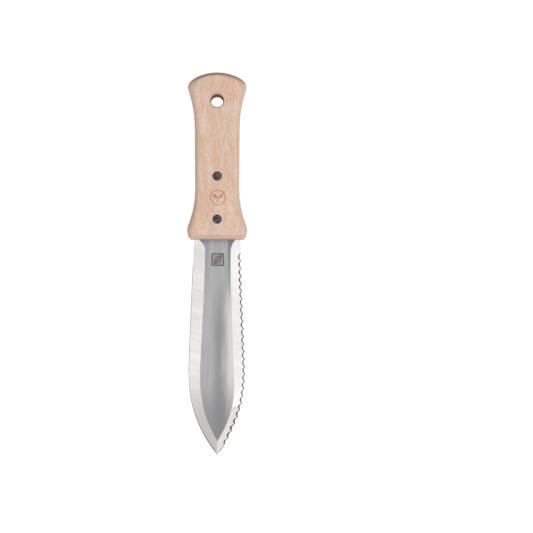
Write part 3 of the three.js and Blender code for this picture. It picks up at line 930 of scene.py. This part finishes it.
def make_blade():
    heights = blade_heights()
    rows = [blade_row(z) for z in heights]
    columns = len(rows[0])
    points = [(x, depth, z) for row, z in zip(rows, heights) for x, depth, _ in row]
    faces = tube_faces(len(rows), columns)
    zones = [zone for row in rows[:-1] for _, _, zone in row]
    last = (len(rows) - 1) * columns
    faces += [tuple(range(columns)), tuple(range(last, last + columns))]
    zones += [BACK_ZONE, EDGE_ZONE]
    blade = mesh_object("ground_blade", points, faces, zones)
    for material in (
        # The edge and scallop steels are darkened as painted shade on the sharpened strip and in the
        # scallops' grooves
        dull_steel("edge_steel", STEEL["edge_dark"], STEEL["edge_light"], 0.55, 0.6),
        ground_bevel(),
        brushed_dish(),
        dull_steel("scallop_steel", STEEL["scallop_dark"], STEEL["scallop_light"], 0.6, 0.8),
        brushed_back(),
    ):
        blade.data.materials.append(material)
    tidy(blade)
    shoulder = blade_high.z - TANG_CORNER
    tang_low = BLADE_ROOT - TANG_OVERLAP
    outline = [(-TANG_HALF, tang_low), (TANG_HALF, tang_low)]
    for side, start in ((1, 0.0), (-1, math.pi / 2)):
        for i in range(TANG_CORNER_STEPS + 1):
            turn = start + math.pi / 2 * i / TANG_CORNER_STEPS
            outline.append((side * (TANG_HALF - TANG_CORNER) + TANG_CORNER * math.cos(turn),
                            shoulder + TANG_CORNER * math.sin(turn)))
    tang = plate("tang", outline, -TANG_THICKNESS / 2, TANG_THICKNESS / 2)
    tang.data.materials.append(bpy.data.materials["back_steel"])
    boolean(blade, tang, "UNION")
    drill = [(0, -DRILL_REACH), (TANG_HOLE, -DRILL_REACH), (TANG_HOLE, DRILL_REACH), (0, DRILL_REACH)]
    for z in RIVETS.values():
        boolean(blade, turned("hole", drill, z, DRILL_STEPS))
    shade(blade, math.radians(CRISP["blade"]))
    return blade


# ---- Handle ----

def bezier(points, count):
    """Points on a Bezier curve, from its start up to but not including its end."""
    made = []
    for i in range(count):
        t = i / count
        level = [np.array(p, float) for p in points]
        while len(level) > 1:
            level = [a * (1 - t) + b * t for a, b in zip(level, level[1:])]
        made.append(tuple(level[0]))
    return made


def handle_outline(share):
    """The handle's outline as (x, z, crown weight, end weight), with share of the flat face's inset."""
    inset = {place: share[place] * amount for place, amount in FLAT_INSET.items()}
    flare = (FLARE_HALF - inset["flare"], FLARE_Z)
    end = (END_HALF - inset["flare"] * END_INSET_SHARE, HANDLE_END + inset["end"])
    waist = (WAIST_LOWER[0] - inset["waist"], WAIST_LOWER[1])
    upper = (WAIST_UPPER[0] - inset["waist"], WAIST_UPPER[1])
    shoulder = (SHOULDER[0] - inset["flare"], SHOULDER[1])
    radius = CROWN_RADIUS - inset["crown"]
    centre = HANDLE_TOP - CROWN_RADIUS
    crown_x = CROWN_HALF - inset["flare"] * CROWN_INSET_SHARE
    corner = math.acos(crown_x / radius)
    crown = (crown_x, centre + radius * math.sin(corner))
    side = [(x, z, 0.0, 1.0) for x, z in bezier([(0, end[1]), end], CURVE_STEPS["end"])]

    steps = CURVE_STEPS["corner"]
    leave = (flare[0] - END_CORNER_REACH["in"], end[1] + END_CORNER_REACH["up"])
    arrive = (flare[0], FLARE_Z - END_CORNER_REACH["down"])
    curve = bezier([end, leave, arrive, flare], steps)
    side += [(x, z, 0.0, 1 - smoothstep(i / steps, *END_FADE)) for i, (x, z) in enumerate(curve)]

    leave = (flare[0], FLARE_Z + FLARE_REACH["flare"])
    arrive = (waist[0], waist[1] - FLARE_REACH["waist"])
    curve = bezier([flare, leave, arrive, waist], CURVE_STEPS["side"])
    curve += bezier([waist, upper], CURVE_STEPS["waist"])
    leave = (upper[0], upper[1] + SHOULDER_REACH["waist"])
    arrive = (shoulder[0], shoulder[1] - SHOULDER_REACH["shoulder"])
    curve += bezier([upper, leave, arrive, shoulder], CURVE_STEPS["side"])
    side += [(x, z, 0.0, 0.0) for x, z in curve]

    rise = shoulder[1] + CROWN_CORNER_REACH["up"] - inset["flare"] * CROWN_INSET_SHARE
    curve = bezier([shoulder, (shoulder[0] - CROWN_CORNER_REACH["in"], rise), crown], steps)
    side += [(x, z, smoothstep(i / steps, *CROWN_FADE), 0.0) for i, (x, z) in enumerate(curve)]
    for i in range(CURVE_STEPS["crown"] + 1):
        turn = corner + (math.pi / 2 - corner) * i / CURVE_STEPS["crown"]
        side.append((radius * math.cos(turn), centre + radius * math.sin(turn), 1.0, 0.0))
    mirrored = [(-x, z, crown_weight, end_weight) for x, z, crown_weight, end_weight in side[-2:0:-1]]
    return side + mirrored


def make_handle():
    quarter = [math.pi / 2 * i / QUARTER_STEPS for i in range(QUARTER_STEPS + 1)]
    rings = []
    for turn in quarter:
        rounded = 1 - math.sin(turn)
        chamfered = 1 - turn / (math.pi / 2)
        outline = handle_outline({"waist": rounded, "flare": rounded, "crown": chamfered, "end": chamfered})
        ring = []
        for x, z, crown, end in outline:
            side_depth = SIDE_ROUND_DEPTH * (1 - math.cos(turn))
            crown_depth = CROWN_CHAMFER_DEPTH * (1 - chamfered)
            end_depth = END_CHAMFER_DEPTH * (1 - chamfered)
            lost = side_depth * (1 - crown - end) + crown_depth * crown + end_depth * end
            ring.append((x, FACE - lost, z))
        rings.append(ring)
    rings += [[(x, -depth, z) for x, depth, z in ring] for ring in rings[::-1]]
    columns = len(rings[0])
    points = [p for ring in rings for p in ring]
    last = (len(rings) - 1) * columns
    faces = tube_faces(len(rings), columns)
    faces += [tuple(range(columns)), tuple(range(last, last + columns))]
    handle = mesh_object("beech_handle", points, faces, [0] * len(faces))
    handle.data.materials.append(beech())
    handle.data.materials.append(drilled_beech())
    tidy(handle)

    wide, low = FLARE_HALF + PAST, HANDLE_END - PAST
    cut = [(-wide, low), (wide, low), (wide, KERF_TOP), (-wide, KERF_TOP)]
    boolean(handle, plate("kerf", cut, -KERF_WIDTH / 2, KERF_WIDTH / 2))
    mouth = HOLE_RADIUS + HOLE_CHAMFER
    hole = turned("hole", [
        (0, -FACE - PAST), (mouth + PAST, -FACE - PAST), (HOLE_RADIUS, HOLE_CHAMFER - FACE),
        (HOLE_RADIUS, FACE - HOLE_CHAMFER), (mouth + PAST, FACE + PAST), (0, FACE + PAST),
    ], 0)
    hole.data.materials.append(bpy.data.materials["beech"])
    hole.data.materials.append(bpy.data.materials["hole_wall"])
    for face in hole.data.polygons:
        face.material_index = 1 if abs(face.center.y) < (FACE - HOLE_CHAMFER) * MM else 0
    boolean(handle, hole)
    seat, depth = HEAD_SEAT
    floor = FACE - depth
    for z in RIVETS.values():
        boolean(handle, turned("seat", [
            (0, -FACE - PAST), (seat, -FACE - PAST), (seat, -floor), (RIVET_HOLE, -floor),
            (RIVET_HOLE, floor), (seat, floor), (seat, FACE + PAST), (0, FACE + PAST),
        ], z))
    shade(handle, math.radians(CRISP["handle"]))
    return handle


# ---- Rivets ----

def make_rivets():
    metal = rivet_steel()
    under = HEAD_UNDERSIDE
    head = [(under["radius"], under["depth"]), *HEAD_PROFILE]
    made = []
    for name, z in RIVETS.items():
        shank = [(0, PIN["end"]), (PIN["radius"], PIN["end"]), (PIN["radius"], under["depth"])]
        pin = turned(name + "_pin", shank + head, z)
        tube = [(0, SOCKET["bore_floor"]), (SOCKET["bore"], SOCKET["bore_floor"])]
        tube += [(SOCKET["bore"], SOCKET["end"]), (SOCKET["radius"], SOCKET["end"])]
        tube += [(SOCKET["radius"], under["depth"])]
        socket = turned(name + "_socket", tube + head, z, front=BACK)
        for rivet in (pin, socket):
            rivet.data.materials.append(metal)
            shade(rivet, math.radians(CRISP["rivet"]))
        made += [(pin, name + "_rivet_pin"), (socket, name + "_rivet_socket")]
    return made


# ---- Stage ----

def softbox(name, side, height, size, brightness):
    """A square soft light that faces the knife, at an angle right of straight in front and one up."""
    data = bpy.data.lights.new(name, "AREA")
    data.size = size
    data.energy = brightness * math.pi * size ** 2
    lamp = bpy.data.objects.new(name, data)
    bpy.context.scene.collection.objects.link(lamp)
    away = Vector((math.sin(side) * math.cos(height), -math.cos(side) * math.cos(height), math.sin(height)))
    lamp.location = Vector((0, 0, (HANDLE_TOP + BLADE_TIP) / 2 * MM)) + away * SOFTBOX_DISTANCE
    lamp.rotation_euler = away.to_track_quat("Z", "Y").to_euler()
    lamp.visible_camera = False


def make_stage():
    bpy.ops.mesh.primitive_circle_add(vertices=96, radius=FLOOR_RADIUS, fill_type="NGON",
                                      location=(0, 0, BLADE_TIP * MM - FLOOR_DROP))
    floor = bpy.context.object
    floor.name = "floor"
    paint = bpy.data.materials.new("pale_floor")
    paint.use_nodes = True
    shader = paint.node_tree.nodes["Principled BSDF"]
    shader.inputs["Base Color"].default_value = (0.85, 0.85, 0.85, 1)
    shader.inputs["Roughness"].default_value = 0.9
    shader.inputs["Emission Color"].default_value = (1, 1, 1, 1)
    shader.inputs["Emission Strength"].default_value = FLOOR_GLOW
    floor.data.materials.append(paint)

    world = bpy.data.worlds.new("studio")
    bpy.context.scene.world = world
    world.use_nodes = True
    nodes, links = world.node_tree.nodes, world.node_tree.links
    background = nodes["Background"]
    direction = nodes.new("ShaderNodeTexCoord").outputs["Generated"]
    slope = nodes.new("ShaderNodeVectorMath")
    slope.operation = "DOT_PRODUCT"
    slope.inputs[1].default_value = SKY_SLOPE
    links.new(direction, slope.inputs[0])
    sky = nodes.new("ShaderNodeMath")
    sky.operation = "ADD"
    sky.inputs[1].default_value = SKY
    links.new(slope.outputs["Value"], sky.inputs[0])
    strength = nodes.new("ShaderNodeMapRange")
    strength.inputs["To Max"].default_value = BACKDROP
    links.new(nodes.new("ShaderNodeLightPath").outputs["Is Camera Ray"], strength.inputs["Value"])
    links.new(sky.outputs[0], strength.inputs["To Min"])
    links.new(strength.outputs[0], background.inputs["Strength"])
    background.inputs["Color"].default_value = (1, 1, 1, 1)

    for name, side, height, size, brightness in SOFTBOXES:
        softbox(name, math.radians(side), math.radians(height), size, brightness)
    bpy.context.scene.view_settings.view_transform = "Standard"


def make_camera():
    """Square on to the knife's front and straight ahead of it, framed with the knife left of centre."""
    data = bpy.data.cameras.new("camera")
    data.sensor_width = 36
    data.lens = CAMERA_LENS
    data.shift_x = CAMERA_SHIFT
    camera = bpy.data.objects.new("camera", data)
    bpy.context.scene.collection.objects.link(camera)
    camera.location = CAMERA_PLACE
    camera.rotation_euler = (math.pi / 2, 0, 0)
    data.clip_end = CAMERA_REACH
    bpy.context.scene.camera = camera


make_camera()
make_stage()
pieces = [(make_blade(), "blade_steel", ["blade"]), (make_handle(), "handle_wood", ["handle"])]
pieces += [(rivet, "rivet_metal", [node]) for rivet, node in make_rivets()]
for piece, slot, nodes in pieces:
    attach(piece, "root")
    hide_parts(*nodes)
